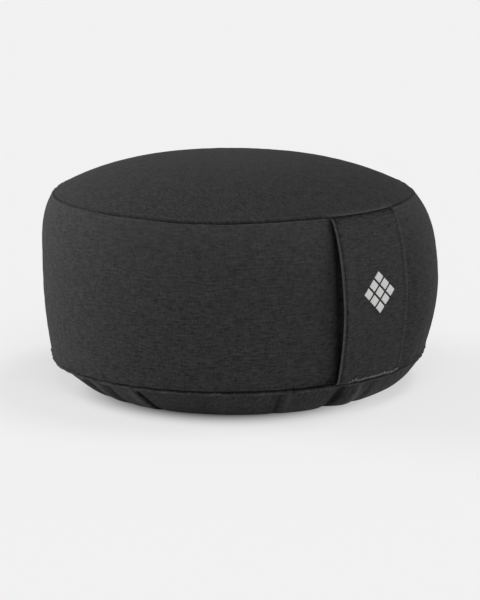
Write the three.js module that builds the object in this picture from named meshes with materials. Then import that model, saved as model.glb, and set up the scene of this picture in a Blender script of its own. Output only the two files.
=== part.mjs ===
// A round meditation cushion: a filled drum sewn from a top disc, a side band and a bottom disc,
// with a wide flat carrying strap caught in its two seams. Millimetres, +Z up. The origin lies on
// the flat base, under the middle of the cushion, and the strap faces -Y.
// An azimuth is in degrees from -Y towards +X, so the strap's waist is close to 0.
import * as THREE from "three";
import { LoftGeometry } from "three/addons/geometries/LoftGeometry.js";

// Driving dimensions of the filled cushion.
const HEIGHT = 185.5;
const GIRTH_RADIUS = 165;
const TOP_SEAM = { radius: 149, height: 157.5 };
const BOTTOM_SEAM = { radius: 156, height: 24 };
const FOOT = { radius: 125, reach: 8, oval: 5.5 };

// How the cloth rounds between the seams: the power of each curve.
const CROWN_POWER = 2.9;
const SIDE_POWER = 2.8;
const SIDE_PEAK_SHIFT = 0.23;
const UNDERSIDE_POWER = 2.2;
const UNDERSIDE_POWER_CHANGE = 1.05;

// The filling has settled to one side, so the cushion leans that way and its bottom seam is lower there.
const LEAN_AZIMUTH = -132;
const LEAN = { bottomSeam: 1.4, girth: -0.4, topSeam: 5.7, crown: 5.3 };
const BOTTOM_SEAM_DROP = 2.7;
const TOP_SEAM_DIP = { azimuth: -50, depth: 1.7, halfWidth: 22 };

// Each seam pulls its channel into the filling.
const SEAM_CHANNEL = { inward: 1.3, down: 0.7 };

// Pleats where the bottom disc is gathered below its seam. A pleat keeps a part of its depth at the foot,
// grows on the way up and runs out at the seam.
const PLEAT_SHARE = { atFoot: 0.35, growth: 1.9 };
const PLEATS = [
  { azimuth: -95, depth: 4, halfWidth: 4 },
  { azimuth: -84, depth: 3, halfWidth: 4 },
  { azimuth: -73, depth: 7, halfWidth: 5 },
  { azimuth: -30, depth: 3, halfWidth: 4 },
  { azimuth: -10, depth: 7, halfWidth: 5 },
  { azimuth: 64, depth: 4, halfWidth: 5 },
  { azimuth: 120, depth: 5, halfWidth: 5 },
  { azimuth: 173, depth: 3, halfWidth: 4 },
  { azimuth: 216, depth: 5, halfWidth: 5 },
];

// The strap: a doubled band that widens upwards and draws the side straight behind it. Its middle line
// sways a little: those are azimuths.
const STRAP_WIDTH = { bottom: 69, waist: 72, top: 76.5 };
const STRAP_SWAY = { bottom: -0.3, waist: -0.8, top: 2 };
const STRAP_THICKNESS = 2;
const STRAP_SPAN = { from: 0.03, to: 0.97 };
const SEAT_GAP = 0.4;
const HAND_GAP = 8;
const DRAWN_HALF_WIDTH = 18;
const DRAWN_POWER = 3;

// Where the sections run: fractions of each panel, from its lower or outer edge on, closer by the seams.
const UNDERSIDE_STEPS = [0, 0.2, 0.4, 0.6, 0.8, 0.93];
const SIDE_STEPS = [
  0, 0.03, 0.08, 0.15, 0.23, 0.31, 0.39, 0.47,
  0.55, 0.63, 0.71, 0.79, 0.86, 0.92, 0.97, 1,
];
const CROWN_STEPS = [0.03, 0.08, 0.16, 0.26, 0.38, 0.52, 0.68, 0.84, 0.96];
const POINTS_AROUND = 96;
const STRAP_COLUMNS = 8;

const rad = THREE.MathUtils.degToRad;

// The signed angle in degrees from one azimuth to another, between -180 and 180.
function turn(from, to) {
  return THREE.MathUtils.euclideanModulo(to - from + 180, 360) - 180;
}

// A hump of height 1 round an azimuth.
function hump(azimuth, centre, halfWidth, power) {
  return Math.exp(-(Math.abs(turn(centre, azimuth) / halfWidth) ** power));
}

// An arch that rises from 0 at both ends of a span to 1 in its middle.
function arch(fraction) {
  return Math.sin(Math.PI * THREE.MathUtils.clamp(fraction, 0, 1));
}

function bottomSeamHeight(azimuth) {
  return BOTTOM_SEAM.height - BOTTOM_SEAM_DROP * Math.cos(rad(azimuth - LEAN_AZIMUTH));
}

function topSeamHeight(azimuth) {
  const dip = TOP_SEAM_DIP;
  return TOP_SEAM.height - dip.depth * hump(azimuth, dip.azimuth, dip.halfWidth, 2);
}

// The edge of the flat base: a slightly oval disc that reaches further out on the side of the lean.
function footRadius(azimuth) {
  const lean = rad(azimuth - LEAN_AZIMUTH);
  return FOOT.radius + FOOT.reach * Math.cos(lean) - FOOT.oval * Math.cos(2 * lean);
}

// How far the cushion's middle has moved over at a height, along the lean.
function leanAt(height) {
  const rise = (height - BOTTOM_SEAM.height) / (TOP_SEAM.height - BOTTOM_SEAM.height);
  const straight = LEAN.bottomSeam + (LEAN.topSeam - LEAN.bottomSeam) * rise;
  return straight + (LEAN.girth - (LEAN.bottomSeam + LEAN.topSeam) / 2) * arch(rise);
}

// A point from its distance to the leaning middle, its height and its azimuth.
function place(radius, height, azimuth, shift) {
  const x = radius * Math.sin(rad(azimuth)) + shift * Math.sin(rad(LEAN_AZIMUTH));
  const y = -radius * Math.cos(rad(azimuth)) - shift * Math.cos(rad(LEAN_AZIMUTH));
  return new THREE.Vector3(x, y, height);
}

// The bottom disc from the foot up to its seam, with its pleats deepest about two fifths of the way up.
function undersidePoint(fraction, azimuth) {
  const foot = footRadius(azimuth);
  const lean = rad(azimuth - LEAN_AZIMUTH);
  const power = UNDERSIDE_POWER - UNDERSIDE_POWER_CHANGE * Math.cos(lean);
  const height = bottomSeamHeight(azimuth) * fraction ** power;
  const pleatShare = (1 - fraction) * (PLEAT_SHARE.atFoot + PLEAT_SHARE.growth * fraction);
  const addFold = (sum, fold) => sum + fold.depth * hump(azimuth, fold.azimuth, fold.halfWidth, 2);
  const pleat = PLEATS.reduce(addFold, 0) * pleatShare;
  const radius = foot + (BOTTOM_SEAM.radius - foot) * fraction - pleat;
  return place(radius, height, azimuth, LEAN.bottomSeam * fraction);
}

// A measure of the strap: straight from its bottom value to its top value, drawn to its waist value.
function alongStrap(measure, fraction) {
  const straight = measure.bottom + (measure.top - measure.bottom) * fraction;
  const waist = measure.waist - (measure.bottom + measure.top) / 2;
  return straight + waist * arch(fraction);
}

// The azimuth of the strap's middle line at a fraction of the side.
function strapAzimuth(fraction) {
  return alongStrap(STRAP_SWAY, fraction);
}

// The side band between the seams: a swelling curve, drawn straight behind the strap. The standoff
// is added outwards, for what lies over the band.
function sidePoint(fraction, azimuth, standoff = 0) {
  const low = bottomSeamHeight(azimuth);
  const height = low + (topSeamHeight(azimuth) - low) * fraction;
  const straight = BOTTOM_SEAM.radius + (TOP_SEAM.radius - BOTTOM_SEAM.radius) * fraction;
  const along = 2 * fraction - 1;
  const shifted = along - SIDE_PEAK_SHIFT * (1 - along ** 2);
  const swell = GIRTH_RADIUS - (BOTTOM_SEAM.radius + TOP_SEAM.radius) / 2;
  const free = 1 - hump(azimuth, strapAzimuth(fraction), DRAWN_HALF_WIDTH, DRAWN_POWER);
  const radius = straight + swell * free * (1 - Math.abs(shifted) ** SIDE_POWER);
  return place(radius + standoff, height, azimuth, leanAt(height));
}

// The top disc from its seam inwards to the crown.
function crownPoint(fraction, azimuth) {
  const outward = 1 - fraction;
  const low = topSeamHeight(azimuth);
  const height = low + (HEIGHT - low) * (1 - outward ** CROWN_POWER);
  return place(TOP_SEAM.radius * outward, height, azimuth, LEAN.topSeam + LEAN.crown * fraction);
}

// A seam's own line, sunk into its channel.
function seamPoint(fraction, azimuth) {
  const sunk = sidePoint(fraction, azimuth, -SEAM_CHANNEL.inward);
  sunk.z -= fraction * SEAM_CHANNEL.down;
  return sunk;
}

// One closed ring of points, anticlockwise from above.
function ring(pointAt) {
  const azimuths = Array.from({ length: POINTS_AROUND }, (_, i) => (360 * i) / POINTS_AROUND);
  return azimuths.map(pointAt);
}

function cushionGeometry() {
  const isSeam = (fraction) => fraction === 0 || fraction === 1;
  const sideRing = (f) => ring((a) => (isSeam(f) ? seamPoint(f, a) : sidePoint(f, a)));
  const sections = [
    ...UNDERSIDE_STEPS.map((f) => ring((a) => undersidePoint(f, a))),
    ...SIDE_STEPS.map(sideRing),
    ...CROWN_STEPS.map((f) => ring((a) => crownPoint(f, a))),
  ];
  return new LoftGeometry(sections, { capStart: true, capEnd: true });
}

// One closed section across the strap: its outer face from left to right, then its inner face back.
function strapSection(fraction) {
  const share = (fraction - STRAP_SPAN.from) / (STRAP_SPAN.to - STRAP_SPAN.from);
  const standoff = SEAT_GAP + HAND_GAP * arch(share);
  const middle = strapAzimuth(fraction);
  const chordRadius = Math.hypot(...sidePoint(fraction, middle, standoff).toArray().slice(0, 2));
  const half = THREE.MathUtils.radToDeg(Math.atan(alongStrap(STRAP_WIDTH, share) / 2 / chordRadius));
  const columns = Array.from({ length: STRAP_COLUMNS + 1 }, (_, i) => (2 * i) / STRAP_COLUMNS - 1);
  const azimuths = columns.map((across) => middle + across * half);
  const outer = azimuths.map((a) => sidePoint(fraction, a, standoff + STRAP_THICKNESS));
  const inner = azimuths.map((a) => sidePoint(fraction, a, standoff));
  return [...outer, ...inner.reverse()];
}

function strapGeometry() {
  const inSpan = (f) => f >= STRAP_SPAN.from && f <= STRAP_SPAN.to;
  return new LoftGeometry(SIDE_STEPS.filter(inSpan).map(strapSection), { capStart: true, capEnd: true });
}

// One named mesh in charcoal cotton.
function clothMesh(name, geometry, color) {
  const material = new THREE.MeshStandardMaterial({ color, roughness: 0.95, metalness: 0 });
  const mesh = new THREE.Mesh(geometry, material);
  mesh.name = name;
  return mesh;
}

const cushion = new THREE.Group();
cushion.add(clothMesh("cushion", cushionGeometry(), 0x353536));
cushion.add(clothMesh("carry_strap", strapGeometry(), 0x373738));

export default cushion;
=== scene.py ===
# %% [markdown]
# # A round meditation cushion
# A filled drum of charcoal cotton twill, sewn from a top disc, a side band and a bottom disc, with a
# wide carrying strap caught in its two seams. The packed model is loaded first and never moved: it
# fixes where everything goes. Each piece below is then worked out in metres in that same frame.

# %% Load the packed model
import math
from types import SimpleNamespace

import bpy
import numpy as np
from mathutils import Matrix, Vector


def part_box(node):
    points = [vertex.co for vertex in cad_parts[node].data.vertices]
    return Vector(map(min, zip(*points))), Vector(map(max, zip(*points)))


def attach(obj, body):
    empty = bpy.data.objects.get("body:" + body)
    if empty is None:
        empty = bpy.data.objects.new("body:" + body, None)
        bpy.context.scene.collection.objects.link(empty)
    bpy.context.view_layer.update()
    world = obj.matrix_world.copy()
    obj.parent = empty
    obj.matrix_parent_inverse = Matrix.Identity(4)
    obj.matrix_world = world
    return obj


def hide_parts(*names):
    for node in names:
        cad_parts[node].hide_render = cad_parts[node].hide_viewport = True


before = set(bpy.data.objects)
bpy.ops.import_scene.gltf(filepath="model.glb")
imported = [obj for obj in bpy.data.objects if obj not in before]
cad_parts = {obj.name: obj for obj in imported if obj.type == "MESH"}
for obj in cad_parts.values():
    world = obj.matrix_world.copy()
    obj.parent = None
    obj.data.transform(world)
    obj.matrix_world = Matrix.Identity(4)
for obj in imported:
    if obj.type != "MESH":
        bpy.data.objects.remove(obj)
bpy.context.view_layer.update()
MM = 0.001

# %% [markdown]
# ## Measures round the cushion
# A point of the cover is named by the panel it lies on, how far along that panel it is, and its
# azimuth: the angle in degrees round the cushion, 0 at the strap and growing anticlockwise from above.
# The filling has settled to one side, so the cushion leans that way. Three small helpers serve all the
# shapes: a hump round one azimuth, a bump along a line, and an arch between two ends.

# %% Azimuths, humps and the lean
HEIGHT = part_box("cushion")[1].z
GIRTH_RADIUS = 165 * MM
TOP_SEAM_RADIUS, TOP_SEAM_HEIGHT = 149 * MM, 157.5 * MM
BOTTOM_SEAM_RADIUS, BOTTOM_SEAM_HEIGHT = 156 * MM, 24 * MM
LEAN_AZIMUTH = -132.0
LEAN_BOTTOM_SEAM, LEAN_GIRTH, LEAN_TOP_SEAM, LEAN_CROWN = 1.4 * MM, -0.4 * MM, 5.7 * MM, 5.3 * MM


def turn_from(azimuth, centre):
    """The signed angle in degrees from a centre to an azimuth, between -180 and 180."""
    return (azimuth - centre + 180.0) % 360.0 - 180.0


def hump(azimuth, centre, half_width, power=2.0):
    """Height 1 at the centre: e to the minus (angle over half width) to a power."""
    return np.exp(-np.abs(turn_from(azimuth, centre) / half_width) ** power)


def bump_at(distance, centre, width):
    """Height 1 at the centre of a line: e to the minus (distance from it over width) squared."""
    return np.exp(-((distance - centre) / width) ** 2)


def arch(share):
    """Rises from 0 at both ends to 1 in the middle: the sine of half a turn times the share."""
    return np.sin(np.pi * np.clip(share, 0.0, 1.0))


def lean_at(height):
    """How far the middle has moved over at a height: a straight lean, less an arch at the girth."""
    rise = (height - BOTTOM_SEAM_HEIGHT) / (TOP_SEAM_HEIGHT - BOTTOM_SEAM_HEIGHT)
    straight = LEAN_BOTTOM_SEAM + (LEAN_TOP_SEAM - LEAN_BOTTOM_SEAM) * rise
    return straight + (LEAN_GIRTH - (LEAN_BOTTOM_SEAM + LEAN_TOP_SEAM) / 2) * arch(rise)


def place(radius, height, azimuth, lean):
    """The point at a radius and azimuth round the middle, moved over by the lean."""
    a, to = np.radians(azimuth), math.radians(LEAN_AZIMUTH)
    x = radius * np.sin(a) + lean * math.sin(to)
    y = -radius * np.cos(a) - lean * math.cos(to)
    return np.stack(np.broadcast_arrays(x, y, height), axis=-1)


print("leans", round(float(lean_at(TOP_SEAM_HEIGHT)) / MM, 1), "mm at the top seam")

# %% [markdown]
# ## The three panels
# The real cover is cut from flat cloth and takes its shape from the filling. Each panel is a function
# of two parameters here, a share of the way along it and an azimuth, close to the packed solid's own
# curves. The bottom disc comes first. It has more cloth than its seam needs, so it lies in pleats: each
# has a steep side, a slow side and a small ridge.

# %% The bottom disc
FOOT_RADIUS, FOOT_REACH, FOOT_OVAL = 125 * MM, 8 * MM, 5.5 * MM
FOOT_SHARE = 0.62
PLEAT_AT_FOOT, PLEAT_GROWTH, PLEAT_END_POWER = 0.27, 0.83, 5
RIDGE_WIDTH = 1.9
# Painted highlight on the pleat ridges and painted shade in the pleat creases: strengths and widths.
RIDGE_HIGHLIGHT, RIDGE_HIGHLIGHT_WIDTH = 2.2, 0.7
CREASE_SHADE, CREASE_SHADE_WIDTH = 0.55, 0.6
LINE_END_POWER = 14
BOTTOM_SEAM_DROP = 2.7 * MM
UNDERSIDE_POWER, UNDERSIDE_POWER_CHANGE = 2.2, 1.05
# Columns: azimuth at the seam and at the foot, depth in mm, half widths before and after in degrees,
# height of the ridge in mm and its turn from the crease in degrees.
PLEATS = np.array([
    (-97.0, -93.0, 4.5, 2.0, 2.0, 2.2, -4.0),
    (-86.0, -83.0, 4.0, 1.8, 2.0, 1.8, -4.0),
    (-75.0, -69.0, 7.5, 0.8, 2.0, 3.4, -1.2),
    (-52.0, -54.0, 0.8, 4.0, 4.0, 0.3, 6.0),
    (-30.0, -31.0, 4.0, 1.2, 1.6, 0.8, 3.0),
    (-9.0, -12.0, 10.0, 3.6, 2.4, 3.2, 6.0),
    (2.0, -1.5, 2.5, 1.2, 1.6, 0.8, 3.0),
    (33.0, 31.0, 1.2, 4.0, 3.0, 0.4, 5.0),
    (64.0, 60.0, 4.0, 4.5, 3.0, 1.2, 6.0),
    (92.0, 95.0, 1.6, 3.0, 4.0, 0.6, -5.0),
    (120.0, 124.0, 5.0, 3.0, 5.0, 1.5, -6.0),
    (148.0, 147.0, 1.8, 3.5, 3.0, 0.6, 5.0),
    (173.0, 171.0, 3.0, 3.5, 4.0, 1.0, 6.0),
    (216.0, 221.0, 5.0, 3.0, 5.0, 1.6, -6.0),
    (240.0, 238.0, 1.6, 3.0, 3.0, 0.5, 5.0),
])


def bottom_seam_height(azimuth):
    """The seam is lower on the side of the lean: its height less a drop times a cosine."""
    return BOTTOM_SEAM_HEIGHT - BOTTOM_SEAM_DROP * np.cos(np.radians(azimuth - LEAN_AZIMUTH))


def pleat_share(climb):
    """How much of a pleat is left on the way from the foot to the seam: a line that grows, times 1 less
    a power, so that it is fullest high up and runs out quickly at the seam."""
    return (1 - climb ** PLEAT_END_POWER) * (PLEAT_AT_FOOT + PLEAT_GROWTH * climb)


def crease(turn, before, after):
    """The fold line of a pleat, with one width before it and another after: e to the power of 1 minus
    the root of 1 plus 3 times (turn over width) squared."""
    width = np.where(turn < 0, before, after)
    return np.exp(1 - np.sqrt(1 + 3 * (turn / width) ** 2))


def pleats(azimuth, climb):
    """The sum of all pleats: a crease and a ridge beside it. The climb is 0 at the foot, 1 at the seam."""
    inward = np.zeros(np.broadcast(azimuth, climb).shape)
    for at_seam, at_foot, depth, before, after, ridge, ridge_turn in PLEATS:
        turn = turn_from(azimuth, at_foot + (at_seam - at_foot) * climb)
        inward += depth * MM * crease(turn, before, after)
        inward -= ridge * MM * bump_at(turn, ridge_turn, RIDGE_WIDTH)
    return inward * pleat_share(climb)


def pleat_highlight_and_shade(azimuth, climb):
    """A painted highlight on each ridge, a thin hump, less painted shade in each crease, a share of the
    crease.
    """
    painted_tone = np.zeros(np.broadcast(azimuth, climb).shape)
    for at_seam, at_foot, depth, before, after, ridge, ridge_turn in PLEATS:
        turn = turn_from(azimuth, at_foot + (at_seam - at_foot) * climb)
        painted_tone += RIDGE_HIGHLIGHT * ridge * bump_at(turn, ridge_turn, RIDGE_HIGHLIGHT_WIDTH)
        painted_tone -= CREASE_SHADE * depth * crease(turn, CREASE_SHADE_WIDTH * before, CREASE_SHADE_WIDTH * after)
    return painted_tone * (1 - climb ** LINE_END_POWER)


def underside(share, azimuth):
    """A flat base out to the foot; from there the radius grows evenly to the seam, while the height
    follows a power of the climb. The pleats draw the cloth inwards."""
    lean = np.radians(azimuth - LEAN_AZIMUTH)
    foot = FOOT_RADIUS + FOOT_REACH * np.cos(lean) - FOOT_OVAL * np.cos(2 * lean)
    climb = np.clip((share - FOOT_SHARE) / (1 - FOOT_SHARE), 0.0, 1.0)
    power = UNDERSIDE_POWER - UNDERSIDE_POWER_CHANGE * np.cos(lean)
    inner = np.clip(share / FOOT_SHARE, 0.0, 1.0)
    radius = foot * inner + (BOTTOM_SEAM_RADIUS - foot) * climb
    radius = radius - pleats(azimuth, climb) * inner ** 4
    return place(radius, bottom_seam_height(azimuth) * climb ** power, azimuth, LEAN_BOTTOM_SEAM * climb)


print(len(PLEATS), "pleats under the bottom seam")

# %% [markdown]
# ## The side band and the top disc
# The side band swells between its seams, and its fullest line lies a little above the middle. The strap
# is sewn in tight enough to draw it flat. The top disc is domed by the filling. Both could be sculpted,
# but a formula in the same two parameters lets later steps lay other pieces on them exactly.

# %% The side band and the top disc
TOP_SEAM_DIP_AZIMUTH, TOP_SEAM_DIP, TOP_SEAM_DIP_WIDTH = -50.0, 1.7 * MM, 22.0
SIDE_POWER, SIDE_PEAK_SHIFT = 2.8, 0.23
CROWN_POWER = 2.9
STRAP_WIDTH = {"bottom": 69 * MM, "waist": 72 * MM, "top": 76.5 * MM}
STRAP_SWAY = {"bottom": -0.3, "waist": -0.8, "top": 2.0}
DRAWN_HALF_WIDTH, DRAWN_POWER = 18.0, 3.0


def top_seam_height(azimuth):
    """The seam's height, less a shallow dip round one azimuth."""
    return TOP_SEAM_HEIGHT - TOP_SEAM_DIP * hump(azimuth, TOP_SEAM_DIP_AZIMUTH, TOP_SEAM_DIP_WIDTH)


def along_strap(measure, share):
    """A measure of the strap: straight from its bottom value to its top value, with an arch that brings
    it to its waist value half way."""
    straight = measure["bottom"] + (measure["top"] - measure["bottom"]) * share
    return straight + (measure["waist"] - (measure["bottom"] + measure["top"]) / 2) * arch(share)


def strap_azimuth(rise):
    """The strap's middle line, which sways a little from side to side."""
    return along_strap(STRAP_SWAY, rise)


def side_band(rise, azimuth, standoff=0.0):
    """A straight line between the seams plus a swell, 1 minus a power of the distance from the girth.
    The strap draws the swell flat behind it. A standoff is added outwards for what lies on the band."""
    low = bottom_seam_height(azimuth)
    height = low + (top_seam_height(azimuth) - low) * rise
    along = 2 * rise - 1
    shifted = along - SIDE_PEAK_SHIFT * (1 - along ** 2)
    swell = GIRTH_RADIUS - (BOTTOM_SEAM_RADIUS + TOP_SEAM_RADIUS) / 2
    free = 1 - hump(azimuth, strap_azimuth(rise), DRAWN_HALF_WIDTH, DRAWN_POWER)
    radius = BOTTOM_SEAM_RADIUS + (TOP_SEAM_RADIUS - BOTTOM_SEAM_RADIUS) * rise
    radius = radius + swell * free * (1 - np.abs(shifted) ** SIDE_POWER) + standoff
    return place(radius, height, azimuth, lean_at(height))


def crown(share, azimuth):
    """Domed from the middle out to the seam: the height falls with a power of the share."""
    low = top_seam_height(azimuth)
    height = low + (HEIGHT - low) * (1 - share ** CROWN_POWER)
    return place(TOP_SEAM_RADIUS * share, height, azimuth, LEAN_TOP_SEAM + LEAN_CROWN * (1 - share))


print("girth at azimuth 180, mm:", np.round(side_band(0.57, 180.0) / MM, 1))

# %% [markdown]
# ## Sewing the panels into one cover
# A disc made of rings has a pole in its middle, where faces become slivers. A square grid whose square
# rings are bent into circles has none, and its rim has as many points as the side band has columns, so
# the panels weld point to point. Points are crowded towards the seams, where the detail is. The UV map
# gives each panel its own flat cloth in metres, as it was cut, so a weave can follow it.

# %% One grid for the whole cover
SIDE_LENGTH, TOP_LENGTH, BOTTOM_LENGTH = 139 * MM, 155 * MM, 160 * MM
BOTTOM, SIDE, TOP = 0, 1, 2


def disc_rings(n):
    """Each square ring of an n by n grid becomes a circle: the larger coordinate is the ring, and the
    ratio of the two coordinates gives the angle along that side of the square."""
    y, x = np.meshgrid(np.linspace(-1, 1, n + 1), np.linspace(-1, 1, n + 1), indexing="ij")
    ring = np.maximum(np.abs(x), np.abs(y))
    wide = np.abs(x) >= np.abs(y)
    along_wide = 45 * y / np.where(x == 0, 1, x) + np.where(x < 0, 180, 0)
    along_tall = 90 - 45 * x / np.where(y == 0, 1, y) + np.where(y < 0, 180, 0)
    azimuth = np.where(wide, along_wide, along_tall) + 45
    unit = np.stack([x, y], axis=-1) / np.maximum(ring, 1e-9)[..., None]
    return ring, azimuth, unit


def rim_of(grid):
    """The outer points of a square grid in order, anticlockwise from the corner at azimuth 0."""
    return np.concatenate([grid[:-1, -1], grid[-1, :0:-1], grid[:0:-1, 0], grid[0, :-1]])


def numbers_of(shape):
    """The point numbers of a grid, row by row."""
    return np.arange(np.prod(shape)).reshape(shape)


def quads_of(ids):
    """The four corners of every cell of a grid of point numbers."""
    return np.stack([ids[:-1, :-1], ids[:-1, 1:], ids[1:, 1:], ids[1:, :-1]], axis=-1).reshape(-1, 4)


def sew_cover(n, rows, side_crowd=1.0, disc_crowd=1.0):
    """All points and quads of the cover: a band of 4n columns, and two n by n discs on its rims. A
    crowd below 1 is the spacing at the seams against the even spacing."""
    columns = 4 * n
    t = np.linspace(0, 1, rows + 1)
    rise = t - (1 - side_crowd) * np.sin(2 * np.pi * t) / (2 * np.pi)
    side_ids = numbers_of((rows + 1, columns))
    side_azimuth = np.broadcast_to(360.0 * np.arange(columns) / columns, side_ids.shape)
    side_rise = np.broadcast_to(rise[:, None], side_ids.shape)
    ring, azimuth, unit = disc_rings(n)
    inner = ring < 1 - 1e-9
    gap = 1 - ring
    share = 1 - (disc_crowd * gap + (1 - disc_crowd) * gap ** 2)
    disc_ids = []
    for number, rim in enumerate((side_ids[0], side_ids[-1])):
        ids = np.zeros(ring.shape, int)
        first = side_ids.size + number * inner.sum()
        ids[inner] = first + np.arange(inner.sum())
        ids.ravel()[rim_of(numbers_of(ids.shape))] = rim
        disc_ids.append(ids)
    bottom_ids, top_ids = disc_ids
    spread = np.append(side_ids, side_ids[:, :1], axis=1)
    angle = np.radians(azimuth)
    flat = np.stack([np.cos(angle), np.sin(angle)], axis=-1) * share[..., None]
    band = np.stack(np.meshgrid(np.radians(360 * np.arange(columns + 1) / columns) * BOTTOM_SEAM_RADIUS,
                                rise * SIDE_LENGTH), axis=-1)
    disc_quads = quads_of(numbers_of(ring.shape))
    return SimpleNamespace(
        n=n, rows=rows, side_ids=side_ids, top_ids=top_ids, bottom_ids=bottom_ids,
        panel=np.repeat([SIDE, BOTTOM, TOP], [side_ids.size, inner.sum(), inner.sum()]),
        share=np.concatenate([side_rise.ravel(), share[inner], share[inner]]),
        azimuth=np.concatenate([side_azimuth.ravel(), azimuth[inner], azimuth[inner]]),
        square=np.concatenate([np.zeros((side_ids.size, 2)), *2 * [(unit * share[..., None])[inner]]]),
        quads=np.concatenate([quads_of(spread), quads_of(bottom_ids)[:, ::-1], quads_of(top_ids)]),
        uv=np.concatenate([
            band.reshape(-1, 2)[quads_of(numbers_of(band.shape[:2]))],
            (flat * BOTTOM_LENGTH).reshape(-1, 2)[disc_quads[:, ::-1]],
            (flat * TOP_LENGTH).reshape(-1, 2)[disc_quads],
        ]),
    )


def shape_cover(cover):
    """Every point of a sewn cover, from its own panel's function."""
    points = np.empty((len(cover.panel), 3))
    for panel, surface in ((BOTTOM, underside), (SIDE, side_band), (TOP, crown)):
        own = cover.panel == panel
        points[own] = surface(cover.share[own], cover.azimuth[own])
    return points


def cloth_object(name, points, quads, uv=None):
    """A smooth-shaded object from point and quad arrays, with the flat cloth as its UV map."""
    mesh = bpy.data.meshes.new(name)
    mesh.from_pydata(points.reshape(-1, 3).tolist(), [], quads.reshape(-1, 4).tolist())
    mesh.polygons.foreach_set("use_smooth", np.ones(len(mesh.polygons), bool))
    if uv is not None:
        mesh.uv_layers.new(name="cloth").uv.foreach_set("vector", uv.astype(np.float32).ravel())
    made = bpy.data.objects.new(name, mesh)
    bpy.context.scene.collection.objects.link(made)
    return made


rough = sew_cover(n=56, rows=32)
rough_points = shape_cover(rough)
print("cover for the simulation:", len(rough_points), "points,", len(rough.quads), "quads")

# %% [markdown]
# ## Filling the cover
# On the real cushion the filling presses the cloth out, the seams hold it back, and the spare cloth
# gathers between them. Blender's cloth simulation does the same with a pressure inside: the seams and
# the base are pinned, each panel has a little spare cloth, and gravity is off because the filling
# carries it. The result is kept as a move for each point, with a limit, and not as a new mesh.

# %% Simulate the pressure of the filling
PRESSURE = 4.0
FILL_FRAMES = 20
FURTHEST_MOVE = 5 * MM
SPARE_CLOTH = {BOTTOM: 1.0, SIDE: 0.25, TOP: 0.25}
MOST_SPARE = 0.03
BASE_MARGIN = 0.01


def press_filling(cover, points):
    """Runs the simulation and returns how far each point moved, limited by a smooth saturation:
    the move times the limit, over the limit plus the length of the move."""
    pad = cloth_object("filling", points, cover.quads)
    base = (cover.panel == BOTTOM) & (cover.share < FOOT_SHARE + BASE_MARGIN)
    seam = (cover.panel == SIDE) & ((cover.share == 0) | (cover.share == 1))
    pad.vertex_groups.new(name="held").add(np.flatnonzero(base | seam).tolist(), 1.0, "REPLACE")
    spare = pad.vertex_groups.new(name="spare")
    for panel, weight in SPARE_CLOTH.items():
        spare.add(np.flatnonzero(cover.panel == panel).tolist(), weight, "REPLACE")
    cloth = pad.modifiers.new("filling", "CLOTH").settings
    cloth.quality = 6
    cloth.mass = 0.002
    cloth.tension_stiffness = cloth.compression_stiffness = 12
    cloth.shear_stiffness = 6
    cloth.bending_stiffness = 0.4
    cloth.use_pressure = True
    cloth.uniform_pressure_force = PRESSURE
    cloth.vertex_group_mass = "held"
    cloth.vertex_group_shrink = "spare"
    cloth.shrink_min, cloth.shrink_max = 0.0, -MOST_SPARE
    cloth.effector_weights.gravity = 0
    for number in range(1, FILL_FRAMES + 1):
        bpy.context.scene.frame_set(number)
    filled = pad.evaluated_get(bpy.context.evaluated_depsgraph_get())
    settled = np.empty(points.size, np.float32)
    filled.data.vertices.foreach_get("co", settled)
    move = settled.reshape(-1, 3) - points
    bpy.context.scene.frame_set(1)
    bpy.data.objects.remove(pad)
    length = np.linalg.norm(move, axis=1, keepdims=True)
    return move * FURTHEST_MOVE / (FURTHEST_MOVE + length)


fill_moves = press_filling(rough, rough_points)
for panel, name in ((BOTTOM, "bottom"), (SIDE, "side"), (TOP, "top")):
    moved = np.linalg.norm(fill_moves[rough.panel == panel], axis=1) / MM
    print(name, "moved, mm: mean", moved.mean().round(2), "most", moved.max().round(2))

# %% [markdown]
# ## The finished cover
# The cover that is seen is a finer grid. Simulating it directly would take minutes, so each of its
# points looks up the simulated move of the rough grid with a cubic curve, which keeps the moves smooth.

# %% Carry the simulated moves over to a fine grid
def smooth_lookup(grid, row, column, around):
    """Cubic lookup in a grid of values: four rows by four columns, each weighted by a cubic of its
    distance. Columns go round and round if the grid closes on itself."""
    def weights(t):
        return [
            0.5 * (-t + 2 * t ** 2 - t ** 3),
            0.5 * (2 - 5 * t ** 2 + 3 * t ** 3),
            0.5 * (t + 4 * t ** 2 - 3 * t ** 3),
            0.5 * (-t ** 2 + t ** 3),
        ]

    first_row, first_column = np.floor(row).astype(int), np.floor(column).astype(int)
    row_weights, column_weights = weights(row - first_row), weights(column - first_column)
    found = np.zeros((len(row), grid.shape[2]))
    for i in range(4):
        for j in range(4):
            rows = np.clip(first_row + i - 1, 0, grid.shape[0] - 1)
            columns = first_column + j - 1
            columns = columns % grid.shape[1] if around else np.clip(columns, 0, grid.shape[1] - 1)
            found += (row_weights[i] * column_weights[j])[:, None] * grid[rows, columns]
    return found


def carry_moves(cover, rough, moves):
    """The moves of the rough cover at the fine cover's own places on each panel."""
    carried = np.empty((len(cover.panel), 3))
    side = cover.panel == SIDE
    columns = cover.azimuth[side] / 360.0 * 4 * rough.n
    carried[side] = smooth_lookup(moves[rough.side_ids], cover.share[side] * rough.rows, columns, True)
    for panel, ids in ((BOTTOM, rough.bottom_ids), (TOP, rough.top_ids)):
        own = cover.panel == panel
        column, row = ((cover.square[own] + 1) / 2 * rough.n).T
        carried[own] = smooth_lookup(moves[ids], row, column, False)
    return carried


fine = sew_cover(n=160, rows=74, side_crowd=0.18, disc_crowd=0.2)
cover_points = shape_cover(fine) + carry_moves(fine, rough, fill_moves)
print("fine cover:", len(cover_points), "points,", 2 * len(fine.quads), "triangles")

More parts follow.
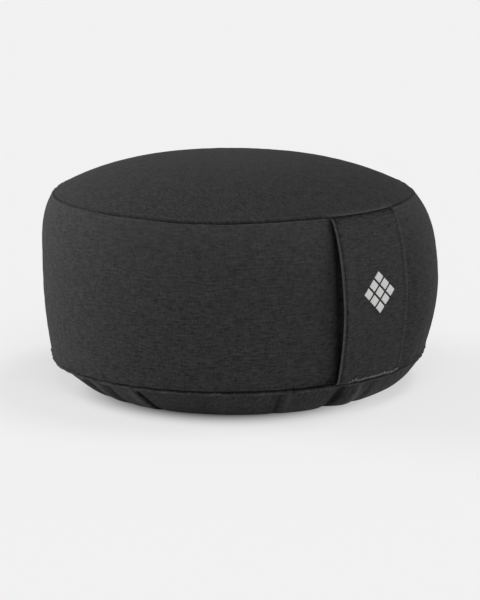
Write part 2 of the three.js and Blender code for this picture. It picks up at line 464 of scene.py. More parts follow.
# %% [markdown]
# ## The seams
# Where two panels are sewn together, the thread pulls a channel between two lips of cloth and puckers
# the cloth beside it. These are narrower than the cells of the simulation, so they come after it, as
# moves along the cover's own outward directions. Everything is measured along the cloth from the seam.

# %% Distances from the seams
# The scale of distances on the bottom disc, which is not quite the length of its flat cloth.
LOWER_LENGTH = 150 * MM
FAR = 1e3
random = np.random.default_rng(7)


def ripple(azimuth, slowest, fastest, waves=24):
    """An even unrest round the cushion: a sum of cosines of whole waves per turn, each with its own
    phase, with a spread of 1."""
    counts = random.integers(slowest, fastest + 1, waves)
    phases = random.uniform(0, 2 * np.pi, waves)
    return np.cos(np.radians(azimuth)[..., None] * counts + phases).sum(axis=-1) * math.sqrt(2 / waves)


def seam_distances(cover):
    """How far each point is above the top seam and above the bottom seam along the cloth, in mm."""
    share = cover.share
    above_top = np.select([cover.panel == TOP, cover.panel == SIDE],
                          [(1 - share) * TOP_LENGTH / MM, (share - 1) * SIDE_LENGTH / MM], -FAR)
    above_bottom = np.select([cover.panel == BOTTOM, cover.panel == SIDE],
                             [(share - 1) * LOWER_LENGTH / MM, share * SIDE_LENGTH / MM], FAR)
    return above_top, above_bottom


above_top, above_bottom = seam_distances(fine)
print("points within 5 mm of a seam:", int(((np.abs(above_top) < 5) | (np.abs(above_bottom) < 5)).sum()))

# %% Seam channels, lips and puckers
# Across a seam: the middle of a lip or channel above the seam, and its half width, in mm.
SIDE_LIP, TOP_LIP = (-1.7, 0.9), (2.4, 1.1)
LOW_LIP, OVER_LIP, LOW_CHANNEL = (-1.4, 0.75), (2.4, 1.4), (0.1, 0.8)
STRAP_ROLL = (1.0, 0.8)
TOP_CHANNEL_WIDTH, WIDER_BY_STRAP, LOWER_BY_STRAP = 0.9, 0.5, 0.6
# Round the cushion: the azimuth in the middle of a stretch, its half width and its power.
PLUMP_STRETCH = (-22.0, 30.0)
SLACK_STRETCH = (32.0, 19.0, 4.0)
STRAP_STRETCH = (STRAP_SWAY["top"], 14.3, 9.0)
STRAP_RADIUS = 158 * MM
BESIDE_EDGE = 3.0
BEHIND_STRAP, BEHIND_WIDTH, BEHIND_RUN_OUT = 4.0, 2.2, 0.02
TOP_PUCKER_REACH, LOW_PUCKER_REACH = 6, 7
OVERHANG, OVERHANG_DOWN = 1.6 * MM, -0.35


def strap_edge(rise):
    """The azimuth on the side that shows just behind the strap's lifted edge."""
    half = np.degrees(along_strap(STRAP_WIDTH, rise) / 2 / STRAP_RADIUS)
    return strap_azimuth(rise) - half + BESIDE_EDGE


def top_seam_relief(azimuth, above):
    """In mm: a lip on the side, one on the top disc and a channel between them, deeper above the strap."""
    strapped = hump(azimuth, *STRAP_STRETCH)
    side_lip = 0.3 + 0.8 * hump(azimuth, *PLUMP_STRETCH) * (1 - strapped) + 0.1 * ripple(azimuth, 20, 60)
    top_lip = 0.3 + 0.7 * strapped + 0.1 * ripple(azimuth, 20, 60)
    channel = 2.2 + 2.6 * strapped + 0.3 * ripple(azimuth, 10, 40)
    lips = side_lip * bump_at(above, *SIDE_LIP) + top_lip * bump_at(above, *TOP_LIP)
    width = TOP_CHANNEL_WIDTH + WIDER_BY_STRAP * strapped
    return lips - channel * bump_at(above, -LOWER_BY_STRAP * strapped, width)


def bottom_seam_relief(azimuth, above):
    """In mm: a sharp lip on the bottom disc, a soft one on the side and a channel between them. The sharp
    lip and the channel are weaker where the seam is slack."""
    slack = hump(azimuth, *SLACK_STRETCH)
    low_lip = (2.1 + 0.3 * ripple(azimuth, 20, 70)) * (1 - 0.45 * slack)
    over_lip = 0.8 + 0.2 * ripple(azimuth, 20, 60)
    channel = (2.6 + 0.3 * ripple(azimuth, 10, 40)) * (1 - 0.8 * slack)
    lips = low_lip * bump_at(above, *LOW_LIP) + over_lip * bump_at(above, *OVER_LIP)
    return lips - channel * bump_at(above, *LOW_CHANNEL)


def seam_relief(cover):
    """How far each point rises or sinks, in metres: both seams, puckers that fade away from them, and a
    trough in the side behind the strap's lifted edge, which runs out at both ends."""
    a, share = cover.azimuth, cover.share
    seams = top_seam_relief(a, above_top) + bottom_seam_relief(a, above_bottom)
    pucker = 0.16 * ripple(a, 50, 110) * np.exp(-np.abs(above_top) / TOP_PUCKER_REACH)
    pucker += 0.2 * ripple(a, 40, 90) * np.exp(-np.abs(above_bottom) / LOW_PUCKER_REACH)
    drawn = (1 - np.exp(-share / BEHIND_RUN_OUT)) * (1 - np.exp((share - 1) / BEHIND_RUN_OUT))
    behind = hump(a, strap_edge(share), BEHIND_WIDTH) * (cover.panel == SIDE) * drawn
    return (seams + pucker - BEHIND_STRAP * behind) * MM


def top_overhang(cover):
    """Above the strap, the edge of the top disc rolls outwards and down over the strap's end."""
    roll = OVERHANG * hump(cover.azimuth, *STRAP_STRETCH) * bump_at(above_top, *STRAP_ROLL)
    a = np.radians(cover.azimuth)
    return roll[:, None] * np.stack([np.sin(a), -np.cos(a), OVERHANG_DOWN + 0 * a], axis=-1)


def outward(points, quads):
    """The outward direction at every point, from Blender's own vertex normals."""
    probe = cloth_object("probe", points, quads)
    normals = np.empty(points.size, np.float32)
    probe.data.vertex_normals.foreach_get("vector", normals)
    bpy.data.objects.remove(probe)
    return normals.reshape(-1, 3)


relief = seam_relief(fine)
cover_points = cover_points + outward(cover_points, fine.quads) * relief[:, None]
cover_points += top_overhang(fine)
cover_points[:, 2] = np.maximum(cover_points[:, 2], 0.0)
cover = cloth_object("cover", cover_points, fine.quads, fine.uv)
print("seam relief from", round(relief.min() / MM, 2), "to", round(relief.max() / MM, 2), "mm")

# %% [markdown]
# ## Painted highlights and shade
# Lips, ridges and folds get painted highlights, and channels, creases and corners get painted shade; the
# side is painted paler upwards and the bottom disc darker. A painted map could hold this, but a number at
# each point needs no picture and follows the shape, so the finish reads it as an attribute.

# %% Where the cover gets painted highlights and shade
# Painted highlights on the seam lips and painted shade in the seam channels: where round the cushion and
# where across each seam.
HIGHLIGHT_STRETCH, SHADE_STRETCH = (-12.0, 34.0, 3.0), (-18.0, 10.0)
HIGHLIGHT_LOW_LIP, HIGHLIGHT_SIDE_LIP, HIGHLIGHT_TOP_LIP = (-1.3, 0.7), (-1.8, 0.8), (1.3, 0.45)
SHADE_STRAP_SEAM, SHADE_LOW_SEAM, SHADE_LOW_LINE = (-0.9, 1.0), (0.7, 1.3), (0.2, 0.8)
# Painted shade over the whole bottom disc, which faces the floor.
UNDER_SHADE = -0.8
# Painted shade in the corners beside the strap's ends: its strength, reach and width.
CORNER_SHADE, CORNER_OUT = 5.0, 2.0
CORNER_REACH = {"bottom": 0.1, "top": 0.05}
CORNER_WIDTH, CORNER_WIDER, CORNER_WIDER_REACH = 2.4, 2.6, 0.15


def panel_painted_light(cover):
    """Painted light: the side grows paler upwards and the top disc towards its rim, each with a power of
    its share. The bottom disc gets painted shade, with painted highlights on its ridges and painted shade
    in its creases."""
    share = cover.share
    climb = np.clip((share - FOOT_SHARE) / (1 - FOOT_SHARE), 0.0, 1.0)
    # Painted light: the side paler towards its top seam, and the top disc (last line) paler towards its
    # rim.
    side = 1.5 * share ** 1.5 + 0.9 * share ** 6 - 0.55
    under = UNDER_SHADE + pleat_highlight_and_shade(cover.azimuth, climb)
    return np.select([cover.panel == SIDE, cover.panel == BOTTOM], [side, under], 0.35 * share ** 6)


def seam_highlight_and_shade(cover):
    """A painted highlight on each lip and painted shade in each channel, stronger or weaker round the
    cushion.
    """
    a = cover.azimuth
    strapped = hump(a, *STRAP_STRETCH)
    pale = (3.6 + 0.8 * ripple(a, 20, 60)) * bump_at(above_bottom, *HIGHLIGHT_LOW_LIP)
    pale += 1.6 * hump(a, *HIGHLIGHT_STRETCH) * bump_at(above_top, *HIGHLIGHT_SIDE_LIP)
    pale += 4.5 * strapped * bump_at(above_top, *HIGHLIGHT_TOP_LIP)
    dark = 6.0 * strapped * bump_at(above_top, *SHADE_STRAP_SEAM)
    dark += 4.0 * hump(a, *SHADE_STRETCH) * bump_at(above_bottom, *SHADE_LOW_SEAM)
    dark += 1.5 * (1 - hump(a, *SLACK_STRETCH)) * bump_at(above_bottom, *SHADE_LOW_LINE)
    return pale - dark


def strap_corner_shade(cover):
    """Painted shade in the corners beside the strap's two ends: each fades along the edge and away from
    it.
    """
    share = cover.share
    corner = np.exp(-share / CORNER_REACH["bottom"]) + np.exp((share - 1) / CORNER_REACH["top"])
    width = CORNER_WIDTH + CORNER_WIDER * np.exp(-share / CORNER_WIDER_REACH)
    beside = hump(cover.azimuth, strap_edge(share) - CORNER_OUT, width)
    return -CORNER_SHADE * (cover.panel == SIDE) * corner * beside


def mark_painted_light(piece, painted_tone):
    """Keeps a number for each point on the piece, for its finish: above 0 a painted highlight, below 0
    painted shade.
    """
    marks = piece.data.attributes.new("tone_and_painted_light", "FLOAT", "POINT").data
    marks.foreach_set("value", painted_tone.astype(np.float32).ravel())


# The cover's painted highlights and shade, added up.
cover_painted_light = panel_painted_light(fine) + seam_highlight_and_shade(fine) + strap_corner_shade(fine)
mark_painted_light(cover, cover_painted_light)
print("wear from", round(cover_painted_light.min(), 1), "to", round(cover_painted_light.max(), 1))

# %% [markdown]
# ## The carrying strap
# A band of the same cloth, folded double and pressed, is caught in both seams and stands off the side
# so that a hand goes behind it. A sheet thickened afterwards would have square edges, so it is a profile
# carried along a path: a flat loop with round folded edges goes up the side from seam to seam. One edge
# has lifted a little and the other turns in. Its folds get a painted highlight, with painted shade in a
# line beside them.

# %% Where the strap lies
STRAP_THICKNESS = 2 * MM
STRAP_FROM, STRAP_TO = 0.0, 0.997
SEAT_GAP, HAND_GAP = 0.4 * MM, 8 * MM
LIFTED, LIFTED_POWER, LIFTED_ENDS_POWER = 3.2 * MM, 5, 0.4
TURNED_IN, TURNED_IN_POWER = 3.0 * MM, 8
TUCKED_TOP, TUCKED_TOP_REACH = 2.6 * MM, 0.012
TUCKED_BOTTOM, TUCKED_BOTTOM_REACH = 1.2 * MM, 0.01


def strap_point(across, share, lift):
    """A point of the strap: across runs from -1 to 1 over its width and share from its bottom end to
    its top. It stands off the side by the hand gap's arch, more at the lifted edge and less at the
    edge that turns in, and the lift is added to that."""
    rise = STRAP_FROM + (STRAP_TO - STRAP_FROM) * share
    azimuth = strap_azimuth(rise) + np.degrees(across * along_strap(STRAP_WIDTH, share) / 2 / STRAP_RADIUS)
    lifted = LIFTED * ((1 - across) / 2) ** LIFTED_POWER * arch(share) ** LIFTED_ENDS_POWER
    turned_in = TURNED_IN * ((1 + across) / 2) ** TURNED_IN_POWER * arch(share)
    tucked = TUCKED_TOP * np.exp((share - 1) / TUCKED_TOP_REACH)
    tucked = tucked + TUCKED_BOTTOM * np.exp(-share / TUCKED_BOTTOM_REACH)
    standoff = SEAT_GAP + HAND_GAP * arch(share) + lifted - turned_in - tucked + lift
    return side_band(rise, azimuth, standoff)


print("middle of the strap's inner face, mm:", np.round(strap_point(0.0, 0.5, 0.0) / MM, 1))

# %% The strap as a profile carried up the side
FACE_CROWD = 0.55
FOLD_WIDTH, FOLD_THICKER = 0.03, 0.15
PRESSED_AT, PRESSED_WIDTH, PRESSED_DEPTH = 0.09, 0.03, 0.6
WAVE_HEIGHT, WAVES_UP, WAVES_ACROSS = 0.25 * MM, 9, 2


def strap_profile(face, edge):
    """A closed loop across the strap: the outer face from left to right, a half circle, the inner face
    back, and a half circle. At its folded edges the doubled cloth is a little thicker, and a line is
    pressed in beside each."""
    even = np.linspace(-1, 1, face)
    flat = (1 - FACE_CROWD) * even + FACE_CROWD * np.sin(even * np.pi / 2)
    round_off = np.linspace(-np.pi / 2, np.pi / 2, edge + 2)[1:-1]
    reach = STRAP_THICKNESS / STRAP_WIDTH["waist"]
    across = np.concatenate([flat * (1 - reach), 1 - reach + reach * np.cos(-round_off),
                             -flat * (1 - reach), reach - 1 - reach * np.cos(round_off)])
    side = np.concatenate([np.ones(face), np.sin(-round_off), -np.ones(face), np.sin(round_off)])
    from_edge = 1 - np.abs(across)
    pressed = bump_at(from_edge, PRESSED_AT, PRESSED_WIDTH) * (side > 0)
    thick = 1 + FOLD_THICKER * bump_at(from_edge, 0, FOLD_WIDTH) - PRESSED_DEPTH * pressed
    return across, (side * thick + 1) * STRAP_THICKNESS / 2


def strap_mesh(rows=110, face=70, edge=8):
    """The loop carried from the bottom seam to the top seam, with a cap of quads at each end. The caps
    join each point of the outer half of the loop to its partner on the inner half."""
    across, lift = strap_profile(face, edge)
    share = np.linspace(0, 1, rows + 1)[:, None]
    waves = WAVE_HEIGHT * np.sin(WAVES_UP * share + WAVES_ACROSS * across) * arch(share)
    points = strap_point(across[None, :], share, lift[None, :] + waves)
    count = len(across)
    ids = numbers_of(points.shape[:2])
    walls = quads_of(np.append(ids, ids[:, :1], axis=1))
    order = np.roll(np.arange(count), edge // 2)
    outer, inner = order[:count // 2], order[:count // 2 - 1:-1]
    ends = [quads_of(np.stack([ids[0][inner], ids[0][outer]])),
            quads_of(np.stack([ids[-1][outer], ids[-1][inner]]))]
    around = np.append(0, np.cumsum(np.abs(np.diff(across, append=across[0]))))
    around = around * STRAP_WIDTH["waist"] / 2
    flat = np.stack(np.meshgrid(around, share[:, 0] * SIDE_LENGTH), axis=-1)
    uv = flat.reshape(-1, 2)[quads_of(numbers_of(flat.shape[:2]))]
    end_uv = np.zeros((sum(len(end) for end in ends), 4, 2))
    return points, np.concatenate([walls, *ends]), np.concatenate([uv, end_uv]), across, share


strap_points, strap_quads, strap_uv, strap_across, strap_share = strap_mesh()
strap = cloth_object("strap", strap_points, strap_quads, strap_uv)
print("strap:", 2 * len(strap_quads), "triangles")

# %% Where the strap gets painted highlights and shade
# Columns: strength of a line, its distance from the edge and its width, in half widths of the strap.
# Each edge: a painted highlight on its fold, then painted shade along its pressed line.
LEFT_EDGE = ((5.4, 0.0, 0.024), (-2.6, 0.08, 0.035))
RIGHT_EDGE = ((3.4, 0.0, 0.05), (-2.0, 0.13, 0.04))
# Painted shade on the strap's top end under the seam's lip; the strap painted paler upwards, on its own
# tone.
STRAP_END_SHADE, STRAP_END_SHADE_REACH = 6.0, 0.012
STRAP_PAINTED_LIGHT_UP, STRAP_TONE = 1.1, -0.5


def edge_highlight_and_shade(from_edge, lines):
    """A painted highlight on the fold and painted shade in the pressed line a little way in: the sum of
    their bumps.
    """
    return sum(strength * bump_at(from_edge, *line) for strength, *line in lines)


def strap_tone_and_light(across, share):
    """Both folded edges, the strap painted paler upwards, its own tone, and painted shade on its top end
    in its seam.
    """
    edges = edge_highlight_and_shade(1 + across, LEFT_EDGE) + edge_highlight_and_shade(1 - across, RIGHT_EDGE)
    shaded_end = STRAP_END_SHADE * np.exp((share - 1) / STRAP_END_SHADE_REACH)
    return edges + STRAP_PAINTED_LIGHT_UP * share + STRAP_TONE - shaded_end


strap_light_and_tone = strap_tone_and_light(strap_across, strap_share)
mark_painted_light(strap, strap_light_and_tone)
print("strap's wear from", round(strap_light_and_tone.min(), 1), "to", round(strap_light_and_tone.max(), 1))

# %% [markdown]
# ## Stitching at the strap's foot
# The strap's lower end is sewn down with a row of short slanted stitches. Each is a thin bowed tube:
# a round profile carried along its own short path, all of them in one array.

# %% A row of slanted stitches
STITCHES = 25
THREAD_RADIUS, THREAD_TAPER = 0.5 * MM, 0.6
STITCHES_FROM, STITCHES_TO = -0.68, 0.88
STITCH_SHARE, STITCH_RISE, STITCH_REACH = 0.008, 0.012, 0.042
UNEVEN_START, UNEVEN_SHARE, UNEVEN_REACH = 0.008, 0.004, 0.008
STITCH_SEAT, STITCH_BOW = 0.9, 0.35


def thread_tubes(paths, outward_way, radius, sides=6):
    """A round tube along each path: a circle square to the path at each of its points, thinner
    towards the ends, with a cap of two quads at each end."""
    along = np.gradient(paths, axis=1)
    along /= np.linalg.norm(along, axis=-1, keepdims=True)
    across = np.cross(along, outward_way)
    across /= np.linalg.norm(across, axis=-1, keepdims=True)
    t = np.linspace(-1, 1, paths.shape[1])
    thin = radius * (1 - THREAD_TAPER * t ** 6)[None, :, None, None]
    angle = np.linspace(0, 2 * np.pi, sides, endpoint=False)[None, None, :, None]
    points = paths[:, :, None] + thin * (
        np.cos(angle) * across[:, :, None] + np.sin(angle) * np.cross(across, along)[:, :, None])
    ids = numbers_of(points.shape[:3])
    walls = [quads_of(np.append(tube, tube[:, :1], axis=1))[:, ::-1] for tube in ids]
    first, last = ids[:, 0], ids[:, -1]
    caps = [first[:, [0, 1, 2, 3]], first[:, [0, 3, 4, 5]],
            last[:, [3, 2, 1, 0]], last[:, [5, 4, 3, 0]]]
    return points.reshape(-1, 3), np.concatenate([*walls, *caps])


def foot_stitches(count, steps=7):
    """Paths on the strap's outer face just above its lower end: each goes up and to the right, bows
    outwards by a half sine, and is a little uneven."""
    t = np.linspace(0, 1, steps)[None, :]
    start = np.linspace(STITCHES_FROM, STITCHES_TO, count)[:, None]
    start = start + random.normal(0, UNEVEN_START, (count, 1))
    share = STITCH_SHARE + UNEVEN_SHARE * random.normal(0, 1, (count, 1)) + t * STITCH_RISE
    across = start + t * (STITCH_REACH + UNEVEN_REACH * random.normal(0, 1, (count, 1)))
    bow = (STITCH_SEAT + STITCH_BOW * np.sin(np.pi * t)) * STRAP_THICKNESS
    paths = strap_point(across, share, bow)
    away = paths * (1, 1, 0)
    return paths, away / np.linalg.norm(away, axis=-1, keepdims=True)


stitch_paths, stitch_away = foot_stitches(STITCHES)
stitch_points, stitch_quads = thread_tubes(stitch_paths, stitch_away, THREAD_RADIUS)
stitching = cloth_object("strap_stitching", stitch_points, stitch_quads)
print("stitching:", STITCHES, "stitches,", 2 * len(stitch_quads), "triangles")

# %% [markdown]
# ## A small embroidered diamond
# On the strap sits a plain ornament in white satin stitch: nine lozenges in a diamond. A satin stitch is
# a raised pad of threads lying side by side. Each pad is a domed grid with a ridge for each thread, and
# the direction of the threads changes from one lozenge to the next, so that they catch the light apart.

# %% Nine satin lozenges
DIAMOND_ACROSS, DIAMOND_SHARE = 0.07, 0.535
LOZENGE_HALF_WIDTH, LOZENGE_HALF_HEIGHT = 4.7 * MM, 5.0 * MM
LOZENGE_STEP = 1.24
SATIN_HEIGHT, SATIN_RIDGE, SATIN_THREADS = 0.9 * MM, 0.09 * MM, 9
SATIN_SUNK, SATIN_BACK = 0.15 * MM, 0.3 * MM


def satin_lozenges(cells=36):
    """A square grid turned by 45 degrees gives each lozenge. Its height is a dome, 1 minus a power of
    each coordinate, plus a row of thread ridges, an absolute sine. A flat back closes it."""
    line = np.linspace(-1, 1, cells + 1)
    p, q = np.meshgrid(line, line, indexing="ij")
    i, j = (grid.reshape(9, 1, 1) for grid in np.meshgrid([-1, 0, 1], [-1, 0, 1], indexing="ij"))
    x = ((p + q) / 2 + (i + j) * LOZENGE_STEP) * LOZENGE_HALF_WIDTH
    y = ((p - q) / 2 + (i - j) * LOZENGE_STEP) * LOZENGE_HALF_HEIGHT
    dome = ((1 - p ** 4) * (1 - q ** 4)) ** 0.5
    lies = np.where((i + j) % 2 == 0, p, q)
    ridges = np.abs(np.sin(np.pi * SATIN_THREADS * (lies + 1) / 2))
    height = SATIN_HEIGHT * dome + SATIN_RIDGE * ridges * dome - SATIN_SUNK
    across = DIAMOND_ACROSS + x / (STRAP_WIDTH["waist"] / 2)
    share = DIAMOND_SHARE + y / SIDE_LENGTH
    front = strap_point(across, share, STRAP_THICKNESS + height)
    back = strap_point(across, share, STRAP_THICKNESS - SATIN_BACK + 0 * height)
    points = np.stack([front, back], axis=1)
    ids = numbers_of(points.shape[:-1])
    rim = np.ones((cells + 1, cells + 1), bool)
    rim[1:-1, 1:-1] = False
    ids[:, 1, rim] = ids[:, 0, rim]
    quads = np.concatenate([quads_of(pad[0]) for pad in ids] + [quads_of(pad[1])[:, ::-1] for pad in ids])
    used, quads = np.unique(quads, return_inverse=True)
    return points.reshape(-1, 3)[used], quads.reshape(-1, 4)


satin_points, satin_quads = satin_lozenges()
diamond = cloth_object("satin_diamond", satin_points, satin_quads)
print("diamond:", 2 * len(satin_quads), "triangles")

# %% [markdown]
# ## Shader sums in Python
# A finish is a graph of small nodes. Writing it as arithmetic is shorter and easier to read, so a
# wire, which is one output of a node, knows the operators: a sum of two wires adds a Math node.

# %% Wires and finishes
class Wire:
    """One output socket in a finish. Arithmetic with wires or numbers adds Math nodes."""

    def __init__(self, finish, socket):
        self.finish, self.socket = finish, socket

    def math(self, operation, first, second=0.0):
        return self.finish.node("Math", {"operation": operation}, {0: first, 1: second})

    def __add__(self, other):
        return self.math("ADD", self, other)

    def __sub__(self, other):
        return self.math("SUBTRACT", self, other)

    def __rsub__(self, other):
        return self.math("SUBTRACT", other, self)

    def __mul__(self, other):
        return self.math("MULTIPLY", self, other)

    __radd__, __rmul__ = __add__, __mul__


class Finish:
    """A material made of nodes."""

    def __init__(self, name):
        self.material = bpy.data.materials.new(name)
        self.material.use_nodes = True
        self.tree = self.material.node_tree
        self.tree.nodes.clear()

    def node(self, kind, settings=None, inputs=None, output=0):
        """Adds a node of a type, sets its settings, then its sockets' values or links."""
        made = self.tree.nodes.new("ShaderNode" + kind)
        for name, value in (settings or {}).items():
            setattr(made, name, value)
        for name, value in (inputs or {}).items():
            if isinstance(value, Wire):
                self.tree.links.new(value.socket, made.inputs[name])
            else:
                made.inputs[name].default_value = value
        return Wire(self, made.outputs[output])

    def surface(self, inputs):
        """Ends the finish in one Principled shader."""
        shader = self.node("BsdfPrincipled", {}, inputs)
        out = self.tree.nodes.new("ShaderNodeOutputMaterial")
        self.tree.links.new(shader.socket, out.inputs["Surface"])
        return self.material


print("operators:", [name for name in vars(Wire) if name.startswith("__") and name != "__init__"])

# %% [markdown]
# ## Charcoal cotton twill
# The cloth is a stout cotton twill: fine diagonal wales, yarns that are a little thick and thin, and a
# dye that took unevenly, which gives a heathered charcoal. All of it is worked out on the UV map, which
# is the flat cloth in metres, so it follows each panel.

# %% The twill finish
WALE = 2.2 * MM
# Columns: how often the noise changes per metre along the cloth and up it, and its detail.
WOBBLE = (120, 120, 2.0)
YARNS = {
    "weft": (150, 640, 2.0),
    "warp": (640, 150, 2.0),
    "patches": (90, 90, 3.0),
    "speck": (480, 480, 1.0),
}
COLOUR_SHARE = {"weft": 1.5, "warp": 0.7, "patches": 0.5, "speck": 0.8, "wale": 0.3}
RELIEF_SHARE = {"wale": 0.7, "weft": 0.8, "warp": 0.5, "speck": 0.4}
# The middle share scales the painted highlights and shade.
WOBBLE_SHARE, PAINTED_LIGHT_SHARE, MOTTLE_MIDDLE = 0.8, 0.22, 1.4
TONE_SCALE, TONE_MIDDLE = 0.28, 0.103


def twill(name, dark, light, turned):
    """Wales are a sine of the diagonal across the cloth; slubs are noise drawn out along each yarn."""
    cloth = Finish(name)
    flat = cloth.node("UVMap", {"uv_map": "cloth"})
    along = cloth.node("SeparateXYZ", {}, {0: flat}, 0)
    up = cloth.node("SeparateXYZ", {}, {0: flat}, 1)

    def noise(along_scale, up_scale, detail):
        drawn = cloth.node("Mapping", {}, {"Vector": flat, "Scale": (along_scale, up_scale, 1.0)})
        return cloth.node("TexNoise", {}, {"Vector": drawn, "Scale": 1.0, "Detail": detail})

    wobble = noise(*WOBBLE)
    diagonal = (along * (1 - turned) + up * (1 + turned)) * (1 / WALE) + wobble * WOBBLE_SHARE
    parts = {yarn: noise(*scales) for yarn, scales in YARNS.items()}
    parts["wale"] = wobble.math("SINE", diagonal * (2 * math.pi)) * 0.5 + 0.5
    # The attribute brings in the painted highlights and shade worked out on the pieces.
    painted_tone = cloth.node("Attribute", {"attribute_name": "tone_and_painted_light"}, {}, "Fac")
    mottle = sum(parts[part] * share for part, share in COLOUR_SHARE.items()) - MOTTLE_MIDDLE
    tone = (painted_tone * PAINTED_LIGHT_SHARE + mottle) * TONE_SCALE + TONE_MIDDLE
    colour = cloth.node("Mix", {"data_type": "RGBA"}, {0: tone, 6: dark, 7: light}, 2)
    height = sum(parts[part] * share for part, share in RELIEF_SHARE.items())
    bump = cloth.node("Bump", {}, {"Height": height, "Strength": 0.6, "Distance": 0.4 * MM})
    return cloth.surface({
        "Base Color": colour, "Roughness": 0.95, "Specular IOR Level": 0.15, "Normal": bump,
        "Sheen Weight": 0.04, "Sheen Roughness": 0.45, "Sheen Tint": (0.8, 0.82, 0.85, 1.0),
    })


# The dark end is near black so that the painted shade in creases, channels and corners can reach it.
PAINTED_SHADE_BLACK = (0.004, 0.004, 0.004, 1)
COVER_PALE, STRAP_PALE = (0.140, 0.140, 0.1425, 1), (0.148, 0.148, 0.1505, 1)
cover.data.materials.append(twill("cover_twill", PAINTED_SHADE_BLACK, COVER_PALE, 0.0))
strap.data.materials.append(twill("strap_twill", PAINTED_SHADE_BLACK, STRAP_PALE, 0.1))
print("finishes:", [m.name for m in bpy.data.materials if m.name.endswith("twill")])

# %% [markdown]
# ## Sewing thread
# The threads are a smoother cotton. Their colour varies a little from place to place, as thread does
# where it turns, on Object coordinates, because a thread has no flat cloth to follow.

# %% The thread finishes
FIBRES_PER_METRE, FIBRE_CONTRAST, FIBRE_DARK = 900.0, 1.6, 0.3


def thread(name, dark, light, roughness):
    """A mix of two close colours by a fine noise in the object's own space."""
    strand = Finish(name)
    spot = strand.node("TexCoord", {}, {}, "Object")
    fibres = strand.node("TexNoise", {}, {"Vector": spot, "Scale": FIBRES_PER_METRE, "Detail": 3.0})
    tone = fibres * FIBRE_CONTRAST - FIBRE_DARK
    colour = strand.node("Mix", {"data_type": "RGBA"}, {0: tone, 6: dark, 7: light}, 2)
    bump = strand.node("Bump", {}, {"Height": fibres, "Strength": 0.3, "Distance": 0.1 * MM})
    return strand.surface({
        "Base Color": colour, "Roughness": roughness, "Specular IOR Level": 0.3, "Normal": bump,
        "Sheen Weight": 0.1, "Sheen Roughness": 0.4,
    })


GREY_DARK, GREY_LIGHT = (0.09, 0.09, 0.09, 1), (0.24, 0.24, 0.24, 1)
WHITE_DARK, WHITE_LIGHT = (0.70, 0.70, 0.69, 1), (0.86, 0.86, 0.85, 1)
stitching.data.materials.append(thread("grey_thread", GREY_DARK, GREY_LIGHT, 0.7))
diamond.data.materials.append(thread("white_satin_thread", WHITE_DARK, WHITE_LIGHT, 0.5))
print("threads:", [m.name for m in bpy.data.materials if m.name.endswith("thread")])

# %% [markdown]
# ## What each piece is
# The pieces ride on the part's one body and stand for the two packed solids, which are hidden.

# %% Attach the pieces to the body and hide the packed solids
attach(cover, "root")
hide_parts("cushion")
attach(strap, "root")
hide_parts("carry_strap")
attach(stitching, "root")
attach(diamond, "root")

# %% [markdown]
# ## Floor and light
# A pale floor runs far enough back to fill the picture. In a studio, large soft boxes stand round the
# cushion, and a white floor lit from below keeps the shadows short. Sun lamps with a wide disc do the
# first with no falloff, so the floor stays even: a high one at the right behind the cushion, one in front
# that lifts the sides, and a strong low one on the left that draws the rim. A faint glow does the second.
# It leaves out a round spot under the front left, which makes a painted shadow at the foot. A dim white
# surround fills the rest.

# %% Floor and light
FLOOR_HALF = 30.0
# A painted shadow: no glow within the inner radius round this point, full glow past the outer radius.
PAINTED_SHADOW_INNER, PAINTED_SHADOW_OUTER = 74 * MM, 128 * MM
PAINTED_SHADOW_AT = (-39 * MM, -25 * MM, 0.0)
FLOOR_GREY, FLOOR_GLOW = (0.38, 0.38, 0.38, 1.0), 0.59
BLACK, WHITE = (0, 0, 0, 1), (1, 1, 1, 1)
SURROUND = 0.22


def floor_points(steps=24):
    """A level square of points at height 0."""
    line = np.linspace(-FLOOR_HALF, FLOOR_HALF, steps + 1)
    x, y = np.meshgrid(line, line)
    return np.stack([x, y, np.zeros_like(x)], axis=-1)


floor_grid = floor_points()
floor = cloth_object("floor", floor_grid, quads_of(numbers_of(floor_grid.shape[:2])))
paper = Finish("floor_paper")
spot = paper.node("TexCoord", {}, {}, "Object")
away = paper.node("VectorMath", {"operation": "DISTANCE"}, {0: spot, 1: PAINTED_SHADOW_AT}, "Value")
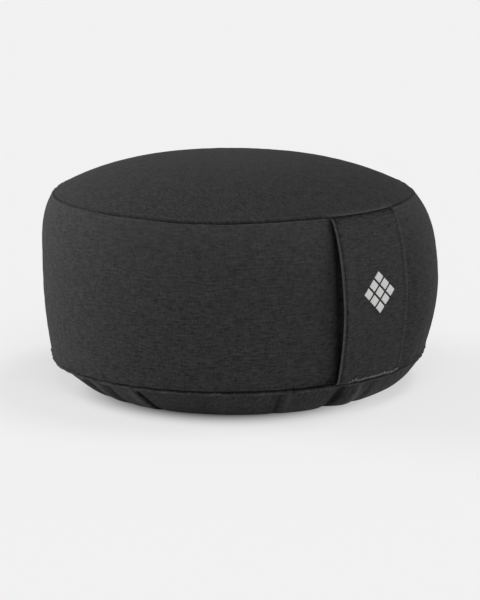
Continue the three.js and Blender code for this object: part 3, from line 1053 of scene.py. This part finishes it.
# The glow fades out towards the middle of the painted shadow.
outside_painted_shadow = paper.node("MapRange", {"interpolation_type": "SMOOTHSTEP"},
                 {"Value": away, "From Min": PAINTED_SHADOW_INNER, "From Max": PAINTED_SHADOW_OUTER})
glow = paper.node("Mix", {"data_type": "RGBA"}, {0: outside_painted_shadow, 6: BLACK, 7: WHITE}, 2)
floor.data.materials.append(paper.surface({
    "Base Color": FLOOR_GREY, "Roughness": 0.9, "Specular IOR Level": 0.0,
    "Emission Color": glow, "Emission Strength": FLOOR_GLOW,
}))

world = bpy.data.worlds.new("studio")
world.use_nodes = True
world.node_tree.nodes["Background"].inputs["Color"].default_value = WHITE
world.node_tree.nodes["Background"].inputs["Strength"].default_value = SURROUND
bpy.context.scene.world = world
bpy.context.scene.view_settings.view_transform = "Standard"


def soft_box(name, azimuth, elevation, spread, strength):
    """A sun lamp that shines from an azimuth and elevation, as soft as its spread in degrees."""
    light = bpy.data.lights.new(name, "SUN")
    light.angle, light.energy = math.radians(spread), strength
    a, e = math.radians(azimuth), math.radians(elevation)
    away = Vector((math.sin(a) * math.cos(e), -math.cos(a) * math.cos(e), math.sin(e)))
    made = bpy.data.objects.new(name, light)
    made.rotation_euler = away.to_track_quat("Z", "Y").to_euler()
    bpy.context.scene.collection.objects.link(made)


CAMERA_AZIMUTH = -42.0
# Columns: azimuth from the camera's, elevation and spread in degrees, and strength.
SOFT_BOXES = {
    "high_box": (118, 64, 24, 0.75),
    "front_box": (12, 54, 45, 0.75),
    "left_box": (-108, 10, 40, 2.4),
}
for name, (from_camera, elevation, spread, strength) in SOFT_BOXES.items():
    soft_box(name, CAMERA_AZIMUTH + from_camera, elevation, spread, strength)

# %% [markdown]
# ## Camera
# The camera stands where the picture was taken from: its place and lens come from fitting the cushion's
# outline and its two seam lines.

# %% Camera
CAMERA_AT = Vector((-1.1892, -1.3207, 0.4490))
CAMERA_AIM = Vector((0.0, 0.0, 0.0637))
CAMERA_LENS = 129.9
camera = bpy.data.objects.new("camera", bpy.data.cameras.new("camera"))
camera.data.lens = CAMERA_LENS
camera.location = CAMERA_AT
camera.rotation_euler = (CAMERA_AIM - CAMERA_AT).to_track_quat("-Z", "Y").to_euler()
bpy.context.scene.collection.objects.link(camera)
bpy.context.scene.camera = camera
print("camera", round((CAMERA_AIM - CAMERA_AT).length, 3), "m from its aim")

# %% [markdown]
# ## Sizes
# Fabric may stand a little proud of the packed solid, but the cushion keeps its size.
